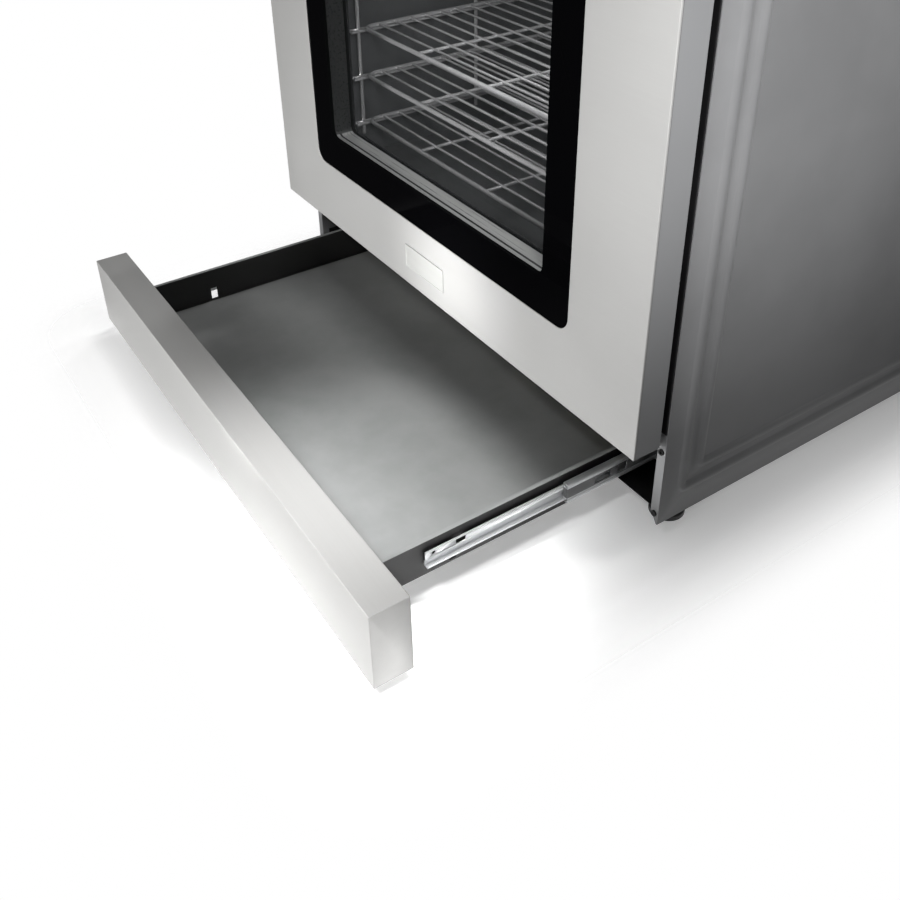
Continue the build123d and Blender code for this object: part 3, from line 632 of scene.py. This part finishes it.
# boxes are pairs of corners, rods lie along x and are centre, radius and half length
def cutAway(mesh, boxes, rods):
    work = bmesh.new()
    for low, high in boxes:
        boxIn(work, low, high)
    for centre, radius, reach in rods:
        size = dict(radius1=radius, radius2=radius, depth=2 * reach)
        for v in bmesh.ops.create_cone(work, cap_ends=True, segments=28, **size)["verts"]:
            v.co = Vector((centre[0] + v.co.z, centre[1] + v.co.y, centre[2] - v.co.x))
    cutter = bpy.data.objects.new("cutter", meshOf("cutter", work))
    scene.collection.objects.link(cutter)
    holder = bpy.data.objects.new("cut", mesh)
    knife = holder.modifiers.new("knife", "BOOLEAN")
    knife.object = cutter
    knife.solver = "EXACT"
    cut = evaluatedMesh(holder, mesh.name)
    bpy.data.objects.remove(cutter)
    return cut


# growing trees: Geometry Nodes that repeat one small mesh in a row or round a ring
def growTree(name, inputs):
    tree = bpy.data.node_groups.new(name, "GeometryNodeTree")
    tree.interface.new_socket("Geometry", in_out="OUTPUT", socket_type="NodeSocketGeometry")
    for label, kind in {"Geometry": "Geometry", **inputs, "Finish": "Material"}.items():
        tree.interface.new_socket(label, in_out="INPUT", socket_type="NodeSocket" + kind)
    return tree, tree.nodes.new("NodeGroupInput").outputs, tree.nodes.new("NodeGroupOutput").inputs


def growEnd(tree, spots, given, out, turn=None):
    copies = tree.nodes.new("GeometryNodeInstanceOnPoints")
    tree.links.new(spots, copies.inputs["Points"])
    tree.links.new(given["Geometry"], copies.inputs["Instance"])
    if turn:
        tree.links.new(turn, copies.inputs["Rotation"])
    solid = tree.nodes.new("GeometryNodeRealizeInstances")
    dress = tree.nodes.new("GeometryNodeSetMaterial")
    tree.links.new(copies.outputs[0], solid.inputs[0])
    tree.links.new(solid.outputs[0], dress.inputs["Geometry"])
    tree.links.new(given["Finish"], dress.inputs["Material"])
    tree.links.new(dress.outputs[0], out["Geometry"])


def rowTree():
    tree, given, out = growTree("rowOfPieces", {"Count": "Int", "First": "Vector", "Step": "Vector"})
    line = tree.nodes.new("GeometryNodeMeshLine")
    tree.links.new(given["Count"], line.inputs["Count"])
    tree.links.new(given["First"], line.inputs["Start Location"])
    tree.links.new(given["Step"], line.inputs["Offset"])
    growEnd(tree, line.outputs[0], given, out)
    return tree


def ringTree():
    tree, given, out = growTree("ringOfPieces", {"Count": "Int", "Centre": "Vector", "Turn": "Vector"})
    line = tree.nodes.new("GeometryNodeMeshLine")
    tree.links.new(given["Count"], line.inputs["Count"])
    tree.links.new(given["Centre"], line.inputs["Start Location"])
    line.inputs["Offset"].default_value = (0, 0, 0)
    index = tree.nodes.new("GeometryNodeInputIndex")
    turns = tree.nodes.new("ShaderNodeVectorMath")
    turns.operation = "SCALE"
    tree.links.new(given["Turn"], turns.inputs[0])
    tree.links.new(index.outputs[0], turns.inputs["Scale"])
    growEnd(tree, line.outputs[0], given, out, turns.outputs[0])
    return tree


def grown(name, item, tree, finish, values):
    holder = bpy.data.objects.new(name, item)
    grower = holder.modifiers.new("grow", "NODES")
    grower.node_group = tree
    for socket in tree.interface.items_tree:
        if socket.in_out == "INPUT" and socket.name in values:
            grower[socket.identifier] = values[socket.name]
        elif socket.in_out == "INPUT" and socket.name == "Finish":
            grower[socket.identifier] = finishes[finish]
    return evaluatedMesh(holder, name)


inRow, inRing = rowTree(), ringTree()

# round and folded parts keep their sizes and get soft edges and smooth shading
softEdges = {
    "side_panel_left": 0, "side_panel_right": 0, "door_skin": 0.0003, "drawer_front": 0.0004,
    "control_panel": 0.0004, "backguard": 0.0003, "door_handle": 0, "handle_posts": 0.0003,
    "knob_bezels": 0, "burner_caps": 0, "burner_heads": 0.0004, "igniters": 0.0002,
    "grate_left": 0.0012, "grate_right": 0.0012, "gas_piping": 0, "pressure_regulator": 0.0005,
    "bake_burner": 0, "broil_burner": 0.0005, "rack_guides": 0, "gas_valves": 0.0006,
    "oven_gasket": 0.0018, "hinge_receivers": 0.0005, "door_hinge_arms": 0.0005,
    "door_window_frame": 0.0004, "cooktop_deck": 0.0004, "base_pan": 0.0003, "drawer_tray": 0.0002,
    "slide_brackets": 0.0003, "oven_floor_plate": 0.0003, "door_outer_glass": 0.0006,
    "door_inner_glass": 0.0006, "cabinet_screws": 0.0002, "door_liner": 0.0003,
}
for node, width in softEdges.items():
    softened(node, width)
print("softened", len(softEdges), "pieces")

# drawer slides: rolled sections, their lines in mm out from the wall and up from the middle
slideLook = dict(
    wall=0.3045, thick=0.001, bend=0.0019,
    drawerLine=(
        (6.7, -6.4), (6.7, -9.3), (0.6, -9.3), (0.6, -2.6), (2.4, -1.6), (2.4, 9.3), (3.6, 9.3), (3.6, 8.2),
    ),
    middleLine=(
        (2.5, -10.2), (2.5, -11.9), (9.7, -11.9), (9.7, -8.6), (8.7, -7.6),
        (8.7, 7.6), (9.7, 8.6), (9.7, 11.9), (2.5, 11.9), (2.5, 10.2),
    ),
    cabinetLine=((4.4, -13.0), (4.4, -13.5), (12.2, -13.5), (12.2, 13.5), (4.4, 13.5), (4.4, 13.0)),
    drawerSlot=dict(out=(0.001, 0.0034), start=0.036, long=0.012, up=(0.0005, 0.0076)),
    drawerHole=dict(out=0.0024, up=0.0042, radius=0.0023, reach=0.002, ends=(0.01, 0.03)),
    cabinetHole=dict(out=0.0122, up=0, radius=0.0024, reach=0.002, ends=(0.04, 0.06)),
    middleSlots=(
        dict(out=(0.006, 0.012), start=0.038, long=0.022, up=(-0.0045, 0.0045)),
        dict(out=(0.006, 0.012), start=0.07, long=0.013, up=(-0.0045, 0.0055)),
        dict(out=(0.006, 0.012), start=0.3, long=0.02, up=(-0.0045, 0.0045)),
    ),
    hook=dict(out=(0.0032, 0.0088), start=0.0, long=0.0009, up=(-0.0082, 0.0082)),
    balls=dict(count=30, radius=0.00078, out=0.0048, up=0.01062, start=0.03, step=0.0062),
)


def roundedLine(points, bend, steps=6):
    line = [Vector(points[0])]
    for before, corner, after in zip(points, points[1:], points[2:]):
        corner = Vector(corner)
        toBefore, toAfter = Vector(before) - corner, Vector(after) - corner
        reach = min(bend, toBefore.length * 0.48, toAfter.length * 0.48)
        start = corner + toBefore.normalized() * reach
        end = corner + toAfter.normalized() * reach
        for count in range(steps + 1):
            t = count / steps
            line.append(start.lerp(corner, t).lerp(corner.lerp(end, t), t))
    line.append(Vector(points[-1]))
    return line


def rolledSection(work, line, side, yLow, yHigh):
    line = roundedLine([Vector(p) / 1000 for p in line], slideLook["bend"])
    pairs = []
    for count, point in enumerate(line):
        ahead = line[min(count + 1, len(line) - 1)] - line[max(count - 1, 0)]
        out = Vector((ahead.y, -ahead.x)).normalized() * slideLook["thick"] / 2
        pairs.append((point + out, point - out))
    ends = []
    for y in (yLow, yHigh):
        ends.append([
            [work.verts.new((side * (slideLook["wall"] + p.x), y, slideHeight + p.y)) for p in pair] for pair in pairs
        ])
    low, high = ends
    faces = []
    for count in range(len(pairs) - 1):
        for edge in (0, 1):
            faces.append([low[count][edge], low[count + 1][edge], high[count + 1][edge], high[count][edge]])
        for end in ends:
            faces.append([end[count][0], end[count][1], end[count + 1][1], end[count + 1][0]])
    for count in (0, len(pairs) - 1):
        faces.append([low[count][0], high[count][0], high[count][1], low[count][1]])
    made = [work.faces.new(f) for f in faces]
    bmesh.ops.recalc_face_normals(work, faces=made)


def boxBeside(side, startY, box):
    xs = sorted(side * (slideLook["wall"] + out) for out in box["out"])
    y = startY + box["start"]
    return (xs[0], y, slideHeight + box["up"][0]), (xs[1], y + box["long"], slideHeight + box["up"][1])


def slideMesh(name, line, sides, yLow, yHigh, slots=(), hole=None):
    work = bmesh.new()
    for side in sides:
        rolledSection(work, line, side, yLow, yHigh)
    cuts = [boxBeside(side, yLow, slot) for side in sides for slot in slots]
    holes = []
    if hole:
        for side in sides:
            for y in (yLow + hole["ends"][0], yHigh - hole["ends"][1]):
                centre = (side * (slideLook["wall"] + hole["out"]), y, slideHeight + hole["up"])
                holes.append((centre, hole["radius"], hole["reach"]))
    return cutAway(meshOf(name, work), cuts, holes)


def alongY(node):
    low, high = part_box(node)
    return low[1], high[1]


look, both = slideLook, (-1, 1)
ends = alongY("slide_drawer_members")
mesh = slideMesh("slideDrawerMembers", look["drawerLine"], both, *ends, [look["drawerSlot"]], look["drawerHole"])
pieceFrom("slideDrawerMembers", mesh, "drawer", "zinc_slide", ("slide_drawer_members",))

ball = bmesh.new()
bmesh.ops.create_icosphere(ball, subdivisions=2, radius=look["balls"]["radius"])
for side, name in ((-1, "slide_middle_left"), (1, "slide_middle_right")):
    startY, endY = alongY(name)
    meshes = [
        slideMesh(name + "Bar", look["middleLine"], (side,), startY, endY, look["middleSlots"]),
        boxMesh("hook", *boxBeside(side, startY, look["hook"])),
    ]
    balls = look["balls"]
    for up in (-balls["up"], balls["up"]):
        first = (side * (look["wall"] + balls["out"]), startY + balls["start"], slideHeight + up)
        values = {"Count": balls["count"], "First": first, "Step": (0, balls["step"], 0)}
        meshes.append(grown(name + "Balls", meshOf("ball", ball.copy()), inRow, "chromeWire", values))
    pieceFrom(name + "Rolled", joined(name + "Rolled", meshes), name, "zinc_slide", (name,), "zincMiddle")
ball.free()

ends = alongY("slide_cabinet_members")
mesh = slideMesh("slideCabinetMembers", look["cabinetLine"], both, *ends, hole=look["cabinetHole"])
pieceFrom("slideCabinetMembers", mesh, "cabinet", "zinc_slide", ("slide_cabinet_members",))
print("made the drawer slides")

# oven racks: a rim of round wire with cross wires on top of long bars
rackLook = dict(
    half=0.284, rim=0.003, corner=0.016, wire=0.0017, wires=15, wireUp=0.0006,
    bar=0.0022, bars=3, barStep=0.15, barDown=0.0016,
)


def wireAlong(name, points, radius, closed=False):
    curve = bpy.data.curves.new(name, "CURVE")
    curve.dimensions = "3D"
    curve.bevel_depth = radius
    curve.bevel_resolution = 3
    curve.use_fill_caps = True
    spline = curve.splines.new("POLY")
    spline.points.add(len(points) - 1)
    for spot, point in zip(spline.points, points):
        spot.co = (*point, 1)
    spline.use_cyclic_u = closed
    return evaluatedMesh(bpy.data.objects.new(name, curve), name)


for name in ("rack_lower", "rack_middle", "rack_upper"):
    look = rackLook
    low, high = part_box(name)
    middleZ = high[2] - look["rim"]
    half, front, back, corner = look["half"], low[1] + look["rim"], high[1] - look["rim"], look["corner"]
    rimLine = []
    for x, y, start in (
        (half - corner, back - corner, 0), (corner - half, back - corner, 90),
        (corner - half, front + corner, 180), (half - corner, front + corner, 270),
    ):
        for count in range(7):
            angle = math.radians(start + 15 * count)
            rimLine.append((x + corner * math.cos(angle), y + corner * math.sin(angle), middleZ))
    meshes = [wireAlong("rim", rimLine, look["rim"], True)]
    cross = wireAlong("cross", [(-half, 0, look["wireUp"]), (half, 0, look["wireUp"])], look["wire"])
    step = (back - front) / (look["wires"] + 1)
    values = {"Count": look["wires"], "First": (0, front + step, middleZ), "Step": (0, step, 0)}
    meshes.append(grown("wires", cross, inRow, "chromeWire", values))
    long = wireAlong("long", [(0, front, -look["barDown"]), (0, back, -look["barDown"])], look["bar"])
    values = {"Count": look["bars"], "First": (-look["barStep"], 0, middleZ), "Step": (look["barStep"], 0, 0)}
    meshes.append(grown("bars", long, inRow, "chromeWire", values))
    pieceFrom(name + "Wire", joined(name + "Wire", meshes, 60), name, "chrome_wire", (name,))
print("made the racks")

# knobs: a turned body with grip ribs, a raised pointer and dial marks on the panel
knobLook = dict(
    skirt=(
        (0, 0), (0.0218, 0), (0.022, 0.0012), (0.0217, 0.004), (0.0196, 0.0052), (0.0188, 0.0245),
        (0.0178, 0.0272), (0.0150, 0.0283), (0, 0.0285),
    ),
    ribs=40, rib=((0.0182, -0.0248, -0.00035), (0.0198, -0.0063, 0.00035)),
    pointer=((-0.0011, -0.0285, 0.003), (0.0011, -0.0255, 0.0172)),
    marks=11, markTurn=27, markGap=0.0001, mark=((-0.0005, -0.00015, 0.0335), (0.0005, 0.0002, 0.037)),
)
markMeshes = []
for number in range(1, 6):
    look, node = knobLook, f"knob_{number}"
    low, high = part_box(node)
    centre = ((low[0] + high[0]) / 2, high[1], (low[2] + high[2]) / 2)
    body = turnedMesh("knobBody", [(r, -along) for r, along in look["skirt"]], centre, "Y")
    values = {"Count": look["ribs"], "Centre": centre, "Turn": (0, 2 * math.pi / look["ribs"], 0)}
    ribs = grown("ribs", boxMesh("rib", *look["rib"]), inRing, "stainlessBar", values)
    pieceFrom(node + "Turned", joined(node + "Turned", [body, ribs], 40), node, "stainless_bar", (node,))
    pointer = [[c + s for c, s in zip(centre, corner)] for corner in look["pointer"]]
    pieceFrom(node + "Pointer", boxMesh("pointer", *pointer), node, "painted_frame")
    centre = (centre[0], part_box("control_panel")[0][1] - look["markGap"], centre[2])
    values = {"Count": look["marks"], "Centre": centre, "Turn": (0, math.radians(look["markTurn"]), 0)}
    markMeshes.append(grown("marks", boxMesh("mark", *look["mark"]), inRing, "paintedFrame", values))
pieceFrom("dialMarks", joined("dialMarks", markMeshes), "cabinet", "painted_frame")
print("made the knobs")

# levelling feet: a ribbed base on a threaded stem
footLook = dict(
    base=(
        (0, 0), (0.0188, 0), (0.02, 0.0008), (0.02, 0.0062),
        (0.0172, 0.009), (0.0132, 0.0094), (0.013, 0.018), (0, 0.018),
    ),
    root=0.0046, crest=0.005, tip=0.0036, stemFrom=0.0175, threadFrom=0.0185, pitch=0.0015, threads=23,
    ribs=26, rib=((0.0125, -0.0006, 0.0095), (0.0140, 0.0006, 0.0176)),
)
for node in ("foot_left_front", "foot_left_rear", "foot_right_front", "foot_right_rear"):
    look = footLook
    low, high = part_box(node)
    centre = ((low[0] + high[0]) / 2, (low[1] + high[1]) / 2, 0.0)
    profile = [(0, look["stemFrom"])]
    for count in range(look["threads"]):
        z = look["threadFrom"] + count * look["pitch"]
        profile += [(look["root"], z), (look["crest"], z + look["pitch"] / 2)]
    profile += [(look["tip"], high[2]), (0, high[2])]
    values = {"Count": look["ribs"], "Centre": centre, "Turn": (0, 0, 2 * math.pi / look["ribs"])}
    ribs = grown("footRibs", boxMesh("footRib", *look["rib"]), inRing, "footBlack", values)
    base = joined(node + "Base", [turnedMesh("footBase", look["base"], centre), ribs], 40)
    pieceFrom(node + "Base", base, node, "foot_black", (node,))
    stem = turnedMesh("footStem", profile, centre, segments=24, sharp=70)
    pieceFrom(node + "Stem", stem, node, "zinc_slide")
print("made the feet")

# back panel: a pressed sheet with two sunk fields, cooling slots and sunk screws
backLook = dict(
    sheet=0.001, gridStep=0.012, field=0.004, ramp=0.005,
    fields=((-0.335, 0.335, 0.075, 0.42), (-0.335, 0.335, 0.46, 0.795)),
    slotHalf=0.003, slotReach=0.03, slotStep=0.044, slots=9, slotRows=(0.300, 0.640),
    inlet=(0.250, 0.838, 0.016), dish=0.0085, dishRamp=0.003, dishDepth=0.0022,
    # first place, step and count
    screwRows=(
        ((-0.3535, 0.06), (0, 0.19), 5), ((0.3535, 0.06), (0, 0.19), 5),
        ((-0.21, 0.052), (0.14, 0), 4), ((-0.21, 0.872), (0.14, 0), 3), ((0.16, 0.872), (0, 0), 1),
    ),
    screwGap=0.00005,
    washer=((0, 0), (0.0058, 0), (0.0058, 0.0003), (0.0050, 0.0006), (0, 0.0006)),
    head=((0, 0.0004), (0.0042, 0.0004), (0.0042, 0.0014), (0.0036, 0.0020), (0, 0.0020)),
)
screwSpots = [
    (x + count * stepX, z + count * stepZ)
    for (x, z), (stepX, stepZ), total in backLook["screwRows"]
    for count in range(total)
]


def easeStep(value):
    value = min(1.0, max(0.0, value))
    return value * value * (3 - 2 * value)


def backDepth(x, z):
    depth = 0.0
    for x0, x1, z0, z1 in backLook["fields"]:
        inside = min(x - x0, x1 - x, z - z0, z1 - z)
        depth = max(depth, backLook["field"] * easeStep(inside / backLook["ramp"]))
    for sx, sz in screwSpots:
        away = math.hypot(x - sx, z - sz)
        depth = max(depth, backLook["dishDepth"] * easeStep((backLook["dish"] - away) / backLook["dishRamp"]))
    return depth


def gridStops(low, high, exact):
    stops = {round(low, 5), round(high, 5)} | {round(value, 5) for value in exact if low < value < high}
    ordered = sorted(stops)
    filled = []
    for first, second in zip(ordered, ordered[1:]):
        pieces = max(1, math.ceil((second - first) / backLook["gridStep"]))
        filled += [first + (second - first) * count / pieces for count in range(pieces)]
    return filled + [ordered[-1]]


look = backLook
low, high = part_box("back_panel")
slotXs = [look["slotStep"] * (count - look["slots"] // 2) for count in range(look["slots"])]
exactX = [x + d for x in slotXs for d in (-look["slotHalf"], look["slotHalf"])]
exactZ = [z + d for z in look["slotRows"] for d in (-look["slotReach"], look["slotReach"])]
for x0, x1, z0, z1 in look["fields"]:
    for reach in (0, look["ramp"] / 2, look["ramp"]):
        exactX += [x0 + reach, x1 - reach]
        exactZ += [z0 + reach, z1 - reach]
for sx, sz in screwSpots:
    for reach in (0, look["dish"] - look["dishRamp"], look["dish"]):
        exactX += [sx - reach, sx + reach]
        exactZ += [sz - reach, sz + reach]
stopsX = gridStops(low[0] + look["sheet"], high[0] - look["sheet"], exactX)
stopsZ = gridStops(low[2], high[2], exactZ)


def inSlot(x, z):
    inletX, inletZ, inletRadius = backLook["inlet"]
    if math.hypot(x - inletX, z - inletZ) < inletRadius:
        return True
    rowHit = any(abs(z - row) < backLook["slotReach"] for row in backLook["slotRows"])
    return rowHit and any(abs(x - column) < backLook["slotHalf"] for column in slotXs)


work = bmesh.new()
outer = high[1]
grid = [[work.verts.new((x, outer - backDepth(x, z), z)) for z in stopsZ] for x in stopsX]
for a in range(len(stopsX) - 1):
    for b in range(len(stopsZ) - 1):
        if not inSlot((stopsX[a] + stopsX[a + 1]) / 2, (stopsZ[b] + stopsZ[b + 1]) / 2):
            work.faces.new((grid[a][b], grid[a][b + 1], grid[a + 1][b + 1], grid[a + 1][b]))
bmesh.ops.delete(work, geom=[v for v in work.verts if not v.link_faces], context="VERTS")
holder = bpy.data.objects.new("backSheet", meshOf("backSheet", work, 50))
wall = holder.modifiers.new("wall", "SOLIDIFY")
wall.thickness = look["sheet"]
wall.offset = -1
meshes = [evaluatedMesh(holder, "backSheet")]
for side in (-1, 1):
    xs = sorted((side * high[0], side * (high[0] - look["sheet"])))
    meshes.append(boxMesh("backLip", (xs[0], low[1], low[2]), (xs[1], outer - look["sheet"], high[2])))
pieceFrom("backPanelPressed", joined("backPanelPressed", meshes, 50), "cabinet", "galvanised", ("back_panel",))

work = bmesh.new()
turnedIn(work, look["washer"], (0, 0, 0), "Y", 20)
turnedIn(work, look["head"], (0, 0, 0), "Y", 6)
screwHead = meshOf("backScrew", work)
sunkY = outer - look["dishDepth"] - look["screwGap"]
meshes = []
for (x, z), (stepX, stepZ), total in look["screwRows"]:
    values = {"Count": total, "First": (x, sunkY, z), "Step": (stepX, 0, stepZ)}
    meshes.append(grown("backScrews", screwHead.copy(), inRow, "screwDark", values))
pieceFrom("backScrews", joined("backScrews", meshes), "cabinet", "screw_dark")
print("made the back panel")

# badge: a blank plate in a thin raised rim
badgeLook = dict(border=0.0016, rim=0.0005, sunk=0.0007, edge=0.0003)
work = bmesh.new()
boxIn(work, *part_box("door_badge_plate"))
facing = [f for f in work.faces if f.normal.y < -0.5]
bmesh.ops.inset_region(work, faces=facing, thickness=badgeLook["border"], depth=0.0)
bmesh.ops.inset_region(work, faces=facing, thickness=badgeLook["rim"], depth=-badgeLook["sunk"])
holder = bpy.data.objects.new("badge", meshOf("badge", work, 40))
edge = holder.modifiers.new("edge", "BEVEL")
edge.width = badgeLook["edge"]
edge.segments = 2
edge.limit_method = "ANGLE"
mesh = evaluatedMesh(holder, "badgeBlank")
pieceFrom("badgeBlank", mesh, "oven_door", "stainless", ("door_badge_plate",), "badge")
print("made the badge")

# the floor melts into the backdrop over a short way out from the range's own footprint
floorLook = dict(
    half=2.0, glow=0.24, pale=(0.93, 0.93, 0.93), shade=(0.9, 0.9, 0.9), footX=0.38, footY=0.49, fade=0.13
)
half = floorLook["half"]
floorMesh = bpy.data.meshes.new("floor")
corners = [(-half, -half, 0), (half, -half, 0), (half, half, 0), (-half, half, 0)]
floorMesh.from_pydata(corners, [], [(0, 1, 2, 3)])
floor = bpy.data.objects.new("floor", floorMesh)
scene.collection.objects.link(floor)
paint = Paint("paleFloor")
beyondX = (abs(paint.x) - floorLook["footX"]).most(0.0)
beyondY = (abs(paint.y) - floorLook["footY"]).most(0.0)
beyond = (beyondX * beyondX + beyondY * beyondY).root()
floorMesh.materials.append(
    paint.finish(
        colour=paint.grey(paint.speckle(3.0, 2.0), floorLook["shade"], floorLook["pale"]),
        rough=0.7,
        gloss=0.1,
        glow=(1, 1, 1, 1),
        glowPower=floorLook["glow"],
        alpha=beyond.ease(0.0, floorLook["fade"], 1.0, 0.0),
    )
)
print("made the floor")
